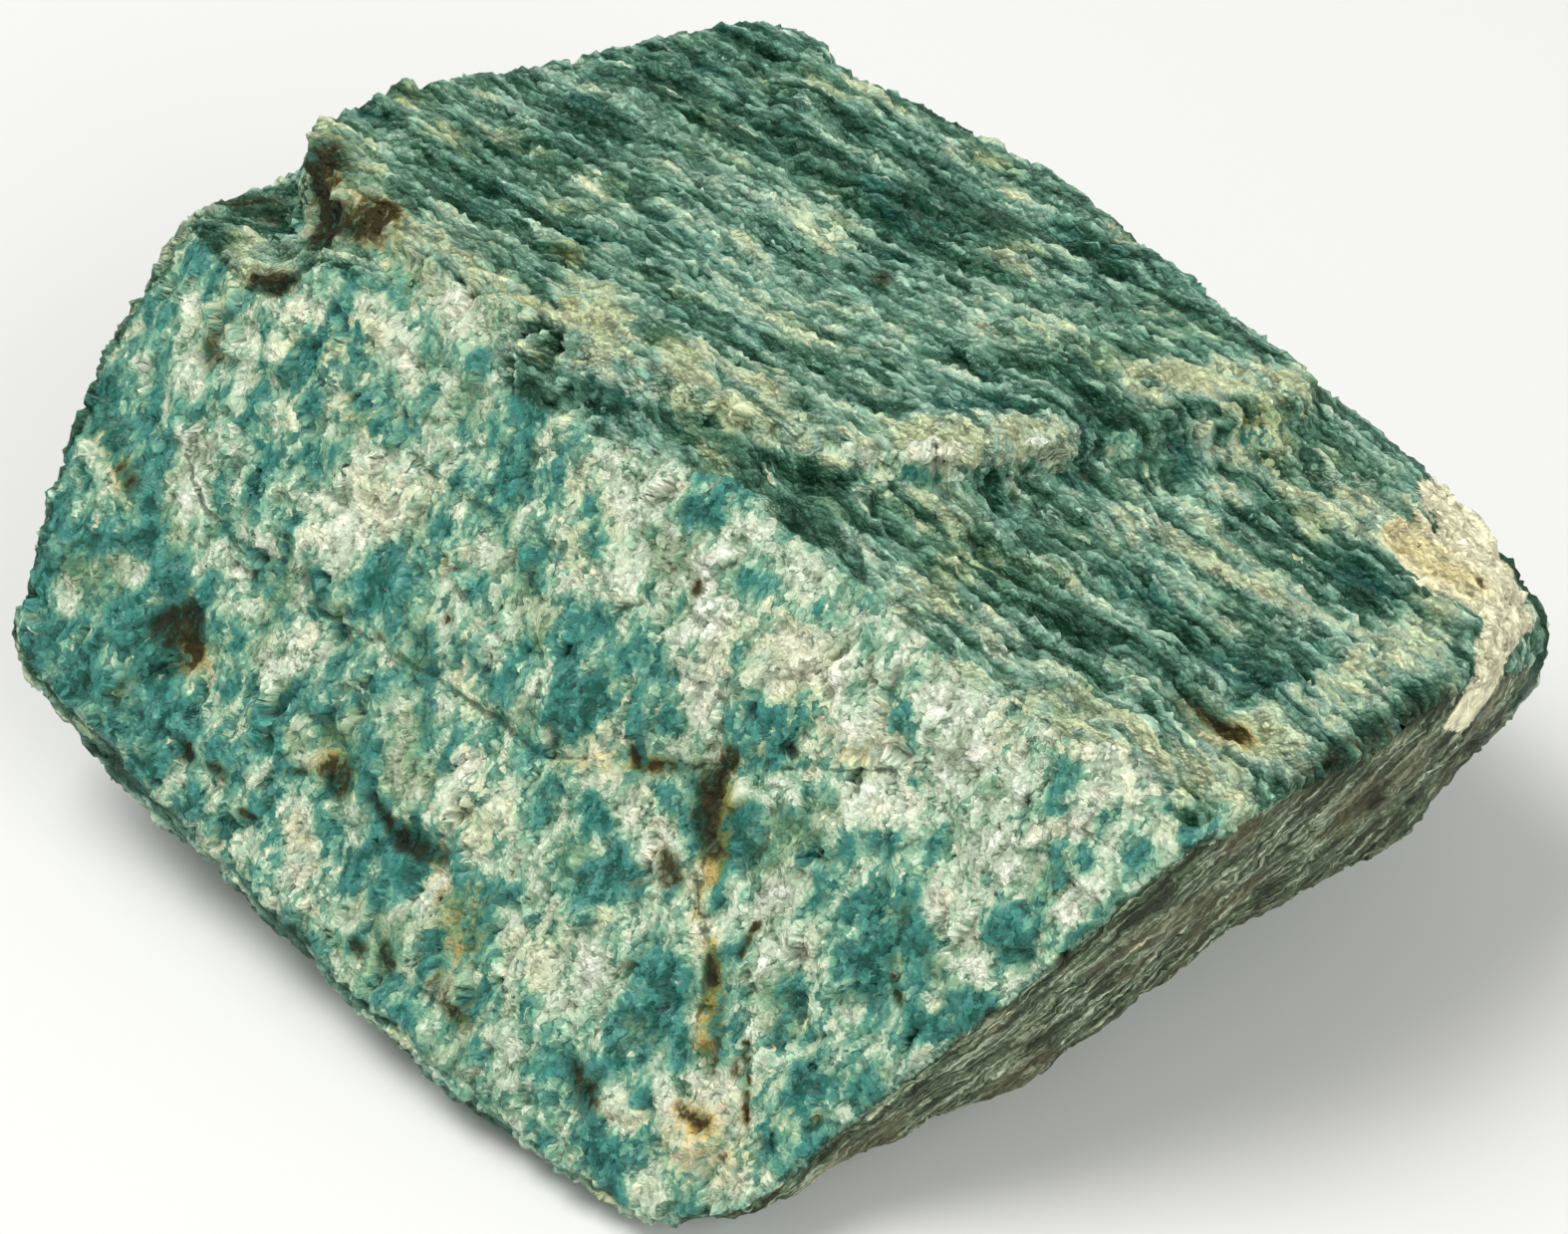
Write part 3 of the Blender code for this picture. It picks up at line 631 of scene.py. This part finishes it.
def plates(tree, place, size, lean, own_lean, step):
    """Broken plates about this size, which all lean one way, and each also has a lean and a step of its own.

    Returns the height, a random number from -0.5 to 0.5, the way from the plate's middle, and its length.
    """
    cells = sized_texture(tree, "ShaderNodeTexVoronoi", place, size, {"Randomness": 0.9}, feature="F1")
    sized = cells.inputs["Vector"].links[0].from_node
    away = add_node(tree, "ShaderNodeVectorMath", {0: sized, 1: (cells, "Position")}, operation="SUBTRACT")
    chance = add_node(tree, "ShaderNodeVectorMath", {0: (cells, "Color"), 1: MIDDLE}, operation="SUBTRACT")
    both = add_node(tree, "ShaderNodeVectorMath", {0: chance, 1: (own_lean,) * 3, 2: lean},
                    operation="MULTIPLY_ADD")
    tilt = add_node(tree, "ShaderNodeVectorMath", {0: away, 1: both}, operation="DOT_PRODUCT")
    split = add_node(tree, "ShaderNodeSeparateXYZ", {0: chance})
    height = weighed(tree, (tilt, "Value"), (split, step))
    return height, split, away, (cells, "Distance")


def bent_place(tree, position):
    """A position along the grain, up the front and through the layers, a little bent."""
    place = add_node(tree, "ShaderNodeVectorRotate", {"Vector": position, "Rotation": LAYER_TURN},
                     rotation_type="EULER_XYZ", invert=True)
    swirl = sized_texture(tree, "ShaderNodeTexNoise", place, (BEND_SIZE * MM,) * 3, {"Detail": 1.0})
    bend = add_node(tree, "ShaderNodeVectorMath", {0: (swirl, "Color"), 1: MIDDLE}, operation="SUBTRACT")
    return add_node(tree, "ShaderNodeVectorMath", {0: bend, 1: Vector(BEND_AMOUNT) * MM, 2: place},
                    operation="MULTIPLY_ADD")


def in_units(tree, given, place, size_name):
    """A place counted in one of the panel's sizes."""
    return add_node(tree, "ShaderNodeVectorMath", {0: place, 1: (given, size_name)}, operation="DIVIDE")


def raised_heights(tree, given, marks, place, whiteness):
    """How far the surface stands out, where each side of the block has patterns of its own."""
    patterns = {}
    for name, (form, lean, own_lean) in PLATE_FORMS.items():
        in_size = in_units(tree, given, place, f"{name} Size")
        patterns[name], _, _, _ = plates(tree, in_size, form, DOWN_THE_TOP_IN_LAYERS * lean, own_lean, 1.0)
    for name, (form, detail) in ROW_FORMS.items():
        in_size = in_units(tree, given, place, f"{name} Size")
        patterns[name], _ = centred_noise(tree, in_size, form, detail)
    crumbly = weighed(tree, 0.75, (whiteness, 1.2))
    height = 0.0
    for name, where in (("Plate", marks["across"]), ("Row", marks["across"]), ("Facet", marks["front"]),
                        ("Rib", marks["right"]), ("Crumb", crumbly)):
        share = weighed(tree, 0.0, ((given, f"{name} Height"), where))
        height = weighed(tree, height, (patterns[name], share))
    unworn = weighed(tree, 1.0, (marks["worn"], -1.0))
    return weighed(tree, weighed(tree, 0.0, (height, unworn)), (marks["crack"], -CRACK_DEPTH * MM))


def rust_spots(tree, given, place):
    """Rust spots: 1 in the middle of a spot. Most cells have none, and the rest differ in size."""
    in_gaps = in_units(tree, given, place, "Spot Gap")
    _, chance, _, distance = plates(tree, in_gaps, (1.0, 1.0, 1.0), NO_LEAN, 0.0, 0.0)
    radius = weighed(tree, SPOT_RADIUS * 0.1, (chance, SPOT_RADIUS * 2.0))
    radius = add_node(tree, "ShaderNodeMath", {0: radius, 1: SMALLEST_SPOT}, operation="MAXIMUM")
    ratio = add_node(tree, "ShaderNodeMath", {0: distance, 1: radius}, operation="DIVIDE")
    outside, inside = SPOT_FADE
    return add_node(tree, "ShaderNodeMapRange", {"Value": ratio, "From Min": outside, "From Max": inside},
                    interpolation_type="SMOOTHSTEP")


def colour_fields(tree, given, marks, place):
    """The broad patterns of colour, which vary too slowly to need the material's own textures."""
    in_patches = in_units(tree, given, place, "Patch Size")
    in_bands = in_units(tree, given, place, "Band Size")
    patches = sized_texture(tree, "ShaderNodeTexNoise", in_patches, PATCH_FORM, {"Detail": 2.0})
    bands = sized_texture(tree, "ShaderNodeTexNoise", in_bands, BAND_FORM, {"Detail": 2.5})
    hue, _ = centred_noise(tree, in_patches, HUE_FORM, 1.0)
    by_side = add_node(tree, "ShaderNodeMix", {"Factor": marks["across"], 2: patches, 3: bands})
    placed = weighed(tree, -0.5, (by_side, 1.0), (marks["pale"], PALE_SHARE), (marks["deep"], -DEEP_SHARE))
    return {"whiteness": placed, "hue": hue, "spots": rust_spots(tree, given, place)}


def relief_tree():
    """Geometry Nodes that break up the surface and store its broad patterns for the material."""
    tree = bpy.data.node_groups.new("broken_relief", "GeometryNodeTree")
    for name, way, kind in (("Geometry", "OUTPUT", "Geometry"), ("Geometry", "INPUT", "Geometry"),
                            ("Seed", "INPUT", "Int"), ("Material", "INPUT", "Material")):
        tree.interface.new_socket(name, in_out=way, socket_type="NodeSocket" + kind)
    for name in RELIEF_SETTINGS:
        socket = tree.interface.new_socket(input_name(name), in_out="INPUT", socket_type="NodeSocketFloat")
        socket.subtype = "DISTANCE"
    given = add_node(tree, "NodeGroupInput", {})
    position = add_node(tree, "GeometryNodeInputPosition", {})
    shift = add_node(tree, "ShaderNodeMath", {0: (given, "Seed"), 1: SEED_SHIFT}, operation="MULTIPLY")
    moved = add_node(tree, "ShaderNodeVectorMath", {0: position, 1: shift}, operation="ADD")
    marks = {name: add_node(tree, "GeometryNodeInputNamedAttribute", {"Name": name})
             for name in RELIEF_MARKS}
    place = bent_place(tree, moved)
    fields = colour_fields(tree, given, marks, place)
    height = raised_heights(tree, given, marks, place, fields["whiteness"])

    normal = add_node(tree, "GeometryNodeInputNormal", {})
    offset = add_node(tree, "ShaderNodeVectorMath", {0: normal, "Scale": height}, operation="SCALE")
    # How far each point stands out from its neighbours. The material paints raised points lighter and hollows
    # darker with it, as painted light and shade.
    even = add_node(tree, "GeometryNodeBlurAttribute", {"Value": height, "Iterations": HEIGHT_STEPS})
    above = add_node(tree, "ShaderNodeMath", {0: height, 1: even}, operation="SUBTRACT")
    fields["stands_out"] = add_node(tree, "ShaderNodeMath", {0: above, 1: MM}, operation="DIVIDE")
    geometry = (given, "Geometry")
    for name, value in fields.items():
        geometry = add_node(tree, "GeometryNodeStoreNamedAttribute",
                            {"Geometry": geometry, "Name": name, "Value": value})
    in_mm = add_node(tree, "ShaderNodeVectorMath", {0: place, "Scale": 1.0 / MM}, operation="SCALE")
    placed = add_node(tree, "GeometryNodeStoreNamedAttribute",
                      {"Geometry": geometry, "Name": "grain_place", "Value": in_mm}, data_type="FLOAT_VECTOR")
    raised = add_node(tree, "GeometryNodeSetPosition", {"Geometry": placed, "Offset": offset})
    real = add_node(tree, "GeometryNodeRealizeInstances", {"Geometry": raised})
    dressed = add_node(tree, "GeometryNodeSetMaterial", {"Geometry": real, "Material": (given, "Material")})
    add_node(tree, "NodeGroupOutput", {"Geometry": dressed})
    return tree


def run_relief(base, shape, material):
    """Breaks up the base's surface, and returns it as a plain mesh of no more triangles than it may have."""
    tree = relief_tree()
    values = {input_name(name): getattr(shape, name) for name in RELIEF_SETTINGS}
    values.update({"Seed": shape.seed, "Material": material})
    relief = base.modifiers.new("broken_relief", "NODES")
    relief.node_group = tree
    for item in tree.interface.items_tree:
        if item.in_out == "INPUT" and item.name in values:
            relief[item.identifier] = values[item.name]
    thinned = base.modifiers.new("thinned", "DECIMATE")
    thinned.ratio = min(1.0, shape.most_triangles / (2.0 * len(base.data.polygons)))
    mesh = evaluated_mesh(base)
    base.modifiers.clear()
    return mesh


def size_by_side(tree, sizes, on_top, on_right):
    """The size of a pattern, which differs between the front, the top and the right side."""
    front, top, right = (Vector(size) for size in sizes)
    size = front
    for more, where in ((top - front, on_top), (right - front, on_right)):
        size = add_node(tree, "ShaderNodeVectorMath", {0: where, 1: more, 2: size}, operation="MULTIPLY_ADD")
    return size


def fine_patterns(tree, place, on_top, on_right):
    """The patterns that are finer than the mesh: streaks, flakes, the grains on them, and dust, and the
    grains' glints and the flakes' edges, which the colour uses for painted highlights and painted shade.
    """
    dust, dusts = centred_noise(tree, place, DUST, 1.0)
    torn = add_node(tree, "ShaderNodeVectorMath", {0: (dusts, "Color"), 1: TEAR, 2: place},
                    operation="MULTIPLY_ADD")
    streak_size, flake_size, grain_size = (size_by_side(tree, sizes, on_top, on_right)
                                           for sizes in (STREAKS, FLAKES, GRAINS))
    streak, _ = centred_noise(tree, torn, streak_size, 2.0, Roughness=0.62)
    back_lean = add_node(tree, "ShaderNodeVectorMath",
                         {0: DOWN_THE_TOP_IN_LAYERS * FLAKE_LEAN, "Scale": on_top}, operation="SCALE")
    flake, chance, away, from_middle = plates(tree, torn, flake_size, back_lean, FLAKE_OWN_LEAN, FLAKE_STEP)
    grain, grain_chance, _, _ = plates(tree, torn, grain_size, back_lean, FLAKE_OWN_LEAN, FLAKE_STEP)
    # The edges of the flakes, which the colour darkens, as painted shade between them.
    gap = add_node(tree, "ShaderNodeMapRange", {"Value": from_middle, "From Min": 0.5, "From Max": 0.85})
    # How far a point lies towards the back of its flake; the top's colour makes it paler there and darker at
    # the near side, as painted light and shade.
    lean = add_node(tree, "ShaderNodeVectorMath", {0: away, 1: back_lean}, operation="DOT_PRODUCT")
    # The grains' random number, cubed so that a few grains turn much lighter, as painted glints, and a few
    # much darker.
    glint = weighed(tree, 0.0, (weighed(tree, 0.0, (grain_chance, grain_chance)), grain_chance))
    return dict(dust=dust, streak=streak, flake=flake, chance=chance, lean=(lean, "Value"), gap=gap,
                grain=grain, grain_chance=grain_chance, glint=glint)


def front_colour(tree, colours, here):
    """Teal feldspar that turns green, cream and white as its streaks get denser."""
    mix = here.mix
    olive = sum_of(tree, here, 0.0, hue=-1.3, streak=0.6, whitened=0.05)
    return coated(tree, colours.deep_teal,
                  (mix, 0.0, 0.2, 1.0, colours.teal), (mix, 0.2, 0.42, 1.0, colours.green),
                  (mix, 0.4, 0.6, 1.0, colours.pale_green), (mix, 0.58, 0.8, 1.0, colours.cream),
                  (mix, 0.82, 1.15, 1.0, colours.white),
                  (here.yellowed, 0.0, 0.3, 0.4, colours.warm_cream),
                  (olive, 0.12, 0.34, 0.5, colours.olive))


def top_colour(tree, colours, here):
    """Thin green flakes with pale broken edges, and painted light and shade: far rims and raised points
    paler, near sides and hollows darker.
    """
    # The flakes' lean and how far a point stands out are painted light and shade: each flake's far rim and
    # the raised points paler, its near side and the hollows darker.
    mix = sum_of(tree, here, 0.43, whiteness=1.95, streak=1.1, lean=0.15, chance=0.36, stands_out=0.7)
    bluish = sum_of(tree, here, 0.0, hue=-1.6, streak=0.9, chance=0.3)
    return coated(tree, colours.top_dark,
                  (mix, 0.0, 0.3, 1.0, colours.top_green), (bluish, 0.0, 0.4, 0.6, colours.top_teal),
                  (mix, 0.3, 0.56, 1.0, colours.top_light),
                  (here.yellowed, -0.2, 0.25, 0.45, colours.olive),
                  (mix, 0.54, 0.78, 1.0, colours.top_pale), (mix, 0.78, 1.02, 1.0, colours.top_cream),
                  (here.yellowed, 0.0, 0.3, 0.35, colours.warm_cream))


def side_colour(tree, colours, here):
    """Weathered streaks of the right side."""
    mix = sum_of(tree, here, 0.45, streak=3.4, whiteness=1.6, chance=0.5, dust=0.8)
    return coated(tree, colours.side_dark,
                  (mix, 0.0, 0.45, 1.0, colours.side_green), (mix, 0.5, 0.9, 1.0, colours.side_pale),
                  (mix, 0.9, 1.3, 0.9, colours.cream), (here.hue, 0.0, 0.16, 0.5, colours.side_brown))


def quartz_colour(tree, colours, here):
    """Milky quartz with a honey tint."""
    mix = sum_of(tree, here, 0.5, streak=1.2, chance=0.3)
    tint = sum_of(tree, here, 0.0, honey=1.0, streak=1.6, chance=0.3)
    return coated(tree, colours.quartz_shade,
                  (mix, 0.0, 0.5, 1.0, colours.quartz), (tint, 0.0, 1.5, 0.8, colours.honey))


def stained(tree, colours, here, colour):
    """A colour under the rust, its yellow tint, and the dark of the cracks. Their edges are ragged."""
    crack = sum_of(tree, here, 0.0, streak=2.2, chance=0.5, grain_chance=0.3, dust=0.6, crack=1.3)
    soak = sum_of(tree, here, 1.1, streak=2.4, chance=0.5, grain_chance=0.4, dust=0.6)
    rusty = sum_of(tree, here, here.stain, spots=0.8)
    rust = weighed(tree, 0.0, (rusty, soak))
    ochre = weighed(tree, 0.0, (sum_of(tree, here, rusty, ochre=1.0), soak))
    colour = coated(tree, colour, (ochre, 0.7, 1.8, 0.3, colours.ochre))
    colour = coated(tree, colour,
                    (ochre, 0.1, 1.7, 0.9, colours.ochre_glaze),
                    (rust, 0.2, 0.9, 0.97, colours.rust_glaze), blend="MULTIPLY")
    return coated(tree, colour,
                  (rust, 0.5, 1.3, 0.7, colours.rust), (crack, 0.75, 1.2, 0.7, colours.top_dark))


def stone_colour(tree, colours, here):
    """The colours of all sides, where each belongs, lighter and darker by grain, with painted highlights and
    painted shade, and stained.
    """
    quartz_edge = sum_of(tree, here, here.quartz, streak=1.5, chance=0.35)
    rind_edge = sum_of(tree, here, here.rind, streak=0.6, chance=0.1)
    colour = coated(tree, front_colour(tree, colours, here),
                    (here.across, 0.05, 0.45, 1.0, top_colour(tree, colours, here)),
                    (here.right, 0.3, 0.7, 1.0, side_colour(tree, colours, here)),
                    (quartz_edge, 0.35, 0.55, 1.0, quartz_colour(tree, colours, here)),
                    (rind_edge, 0.3, 0.6, 1.0, colours.top_dark))
    # Lighter and darker at random by grain and dust, with painted highlights on the glinting grains, painted
    # light on raised points, and painted shade in hollows and at the flakes' edges.
    tone_and_painted_light = sum_of(tree, here, 1.06, chance=0.3, glint=3.0, dust=0.7, stands_out=0.5, gap=-0.14)
    toned_and_lit = add_node(tree, "ShaderNodeVectorMath", {0: colour, "Scale": tone_and_painted_light}, operation="SCALE")
    return stained(tree, colours, here, (toned_and_lit, 0))


def fine_height(tree, here, on_right):
    """The height of the bumps that are finer than the mesh, which are lower on the clean teal."""
    clean = sum_of(tree, here, 1.0, across=-1.0)
    rough = weighed(tree, 1.0, (weighed(tree, 0.0, (clean, here.whitened)), 0.4), (clean, -0.6))
    height = sum_of(tree, here, 0.0, flake=0.5, grain=0.24, streak=0.4, dust=0.12)
    ribs = weighed(tree, 0.0, (here.streak, on_right))
    return weighed(tree, 0.0, (height, rough), (ribs, 1.3))


def amazonite_material(colours):
    """Amazonite: a glassy green feldspar with white streaks, which looks sugary where it is broken."""
    material = bpy.data.materials.new("broken_amazonite")
    material.use_nodes = True
    tree = material.node_tree
    tree.nodes.clear()
    marks = {name: (add_node(tree, "ShaderNodeAttribute", {}, attribute_name=name), "Fac")
             for name in LOOK_MARKS + FIELDS}
    place = (add_node(tree, "ShaderNodeAttribute", {}, attribute_name="grain_place"), "Vector")
    marks["across"] = add_node(tree, "ShaderNodeMath", {0: marks["across"], 1: marks["layered"]},
                               operation="MAXIMUM")
    on_top = add_node(tree, "ShaderNodeMath", {0: marks["across"], 1: TOP_PATTERN_FROM},
                      operation="GREATER_THAN")
    on_right = add_node(tree, "ShaderNodeMath", {0: marks["right"], 1: RIGHT_PATTERN_FROM},
                        operation="GREATER_THAN")

    # All that is known of a point. The values added to it say how white its feldspar is, and how yellow.
    here = SimpleNamespace(**marks, **fine_patterns(tree, place, on_top, on_right))
    rising = sum_of(tree, here, here.whiteness, streak=0.4, chance=0.1)
    low, high = WHITE_FADE
    here.whitened = add_node(tree, "ShaderNodeMapRange", {"Value": rising, "From Min": low, "From Max": high},
                             interpolation_type="SMOOTHSTEP")
    loose = sum_of(tree, here, 0.55, whitened=0.4)
    sugar = sum_of(tree, here, 0.0, streak=0.7, chance=0.4, grain_chance=0.16)
    here.mix = weighed(tree, 0.37, (here.whitened, 0.22), (here.whiteness, 1.2), (sugar, loose))
    here.yellowed = sum_of(tree, here, -0.52, hue=1.6, mix=0.6, chance=0.15)

    bump = add_node(tree, "ShaderNodeBump", {"Height": fine_height(tree, here, on_right),
                                             "Distance": BUMP_DEPTH * MM, "Strength": 1.0})
    roughness = sum_of(tree, here, 0.42, whitened=0.16, grain_chance=0.25, stain=0.4)
    shader = add_node(tree, "ShaderNodeBsdfPrincipled",
                      {"Base Color": stone_colour(tree, colours, here), "Roughness": roughness, "IOR": 1.53,
                       "Specular IOR Level": 0.3, "Normal": bump})
    add_node(tree, "ShaderNodeOutputMaterial", {"Surface": shader})
    return material


class STONE_OT_make(bpy.types.Operator):
    """Makes the stone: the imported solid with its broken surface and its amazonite"""

    bl_idname = "amazonite.make_stone"
    bl_label = "Make Stone"

    def execute(self, context):
        shape = context.scene.stone_shape
        material = amazonite_material(context.scene.stone_colours)
        base = stone_base(shape)
        base_mesh = evaluated_mesh(base)
        base.modifiers.clear()
        base.data = base_mesh
        paint_marks(base_mesh)
        mesh = run_relief(base, shape, material)
        bpy.data.objects.remove(base)
        mesh.name = "rough_amazonite"
        mesh.shade_smooth()
        piece = bpy.data.objects.new("rough_amazonite", mesh)
        context.scene.collection.objects.link(piece)
        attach(piece, "root")
        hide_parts("stone")
        return {"FINISHED"}


def area_light(name, place, width, watts):
    """A soft square light that faces the stone."""
    data = bpy.data.lights.new(name, "AREA")
    data.size = width
    data.energy = watts
    light = bpy.data.objects.new(name, data)
    light.location = place
    light.rotation_euler = (CAMERA_TARGET - Vector(place)).to_track_quat("-Z", "Y").to_euler()
    bpy.context.scene.collection.objects.link(light)


def matt_floor(look):
    """The floor: matt pale board, which takes a soft shadow and shows no glare."""
    mesh = bpy.data.meshes.new("floor")
    surface = bmesh.new()
    bmesh.ops.create_grid(surface, x_segments=1, y_segments=1, size=FLOOR_REACH)
    surface.to_mesh(mesh)
    surface.free()
    paint = bpy.data.materials.new("matt_pale_floor")
    paint.use_nodes = True
    shader = paint.node_tree.nodes["Principled BSDF"]
    shader.inputs["Base Color"].default_value = look.floor
    shader.inputs["Roughness"].default_value = look.floor_roughness
    mesh.materials.append(paint)
    return bpy.data.objects.new("floor", mesh)


class STAGE_OT_make(bpy.types.Operator):
    """Makes the floor, the lights and the camera"""

    bl_idname = "amazonite.make_stage"
    bl_label = "Make Stage"

    def execute(self, context):
        scene = context.scene
        look = scene.stage_look
        floor = matt_floor(look)
        scene.collection.objects.link(floor)
        for name, (place, width) in LIGHTS.items():
            area_light(name + "_light", place, width, getattr(look, name + "_watts"))
        scene.world = bpy.data.worlds.new("studio")
        scene.world.use_nodes = True
        sky = scene.world.node_tree.nodes["Background"]
        sky.inputs["Color"].default_value = (1.0, 1.0, 1.0, 1.0)
        sky.inputs["Strength"].default_value = look.sky
        scene.view_settings.view_transform = "Standard"

        lens = bpy.data.cameras.new("camera")
        lens.lens = CAMERA_LENS
        lens.sensor_width = SENSOR_WIDTH
        lens.clip_start = NEAREST_SEEN
        scene.camera = bpy.data.objects.new("camera", lens)
        scene.camera.location = CAMERA_PLACE
        scene.camera.rotation_euler = CAMERA_TURN.to_euler()
        scene.collection.objects.link(scene.camera)
        return {"FINISHED"}


class STONE_PT_panel(bpy.types.Panel):
    """Lists what the add-on makes and its settings"""

    bl_label = "Rough Amazonite"
    bl_idname = "STONE_PT_panel"
    bl_space_type = "VIEW_3D"
    bl_region_type = "UI"
    bl_category = "Amazonite"

    def draw(self, context):
        scene = context.scene
        for operator, group in ((STONE_OT_make, scene.stone_shape), (None, scene.stone_colours),
                                (STAGE_OT_make, scene.stage_look)):
            box = self.layout.box()
            if operator:
                box.operator(operator.bl_idname)
            for name in group.__annotations__:
                box.prop(group, name)


CLASSES = (StoneShape, StoneColours, StageLook, STONE_OT_make, STAGE_OT_make, STONE_PT_panel)


def register():
    for cls in CLASSES:
        bpy.utils.register_class(cls)
    bpy.types.Scene.stone_shape = PointerProperty(type=StoneShape)
    bpy.types.Scene.stone_colours = PointerProperty(type=StoneColours)
    bpy.types.Scene.stage_look = PointerProperty(type=StageLook)


def unregister():
    del bpy.types.Scene.stage_look
    del bpy.types.Scene.stone_colours
    del bpy.types.Scene.stone_shape
    for cls in reversed(CLASSES):
        bpy.utils.unregister_class(cls)


def main():
    """Makes the stage and the stone."""
    register()
    bpy.ops.amazonite.make_stage()
    bpy.ops.amazonite.make_stone()


if __name__ == "__main__":
    main()
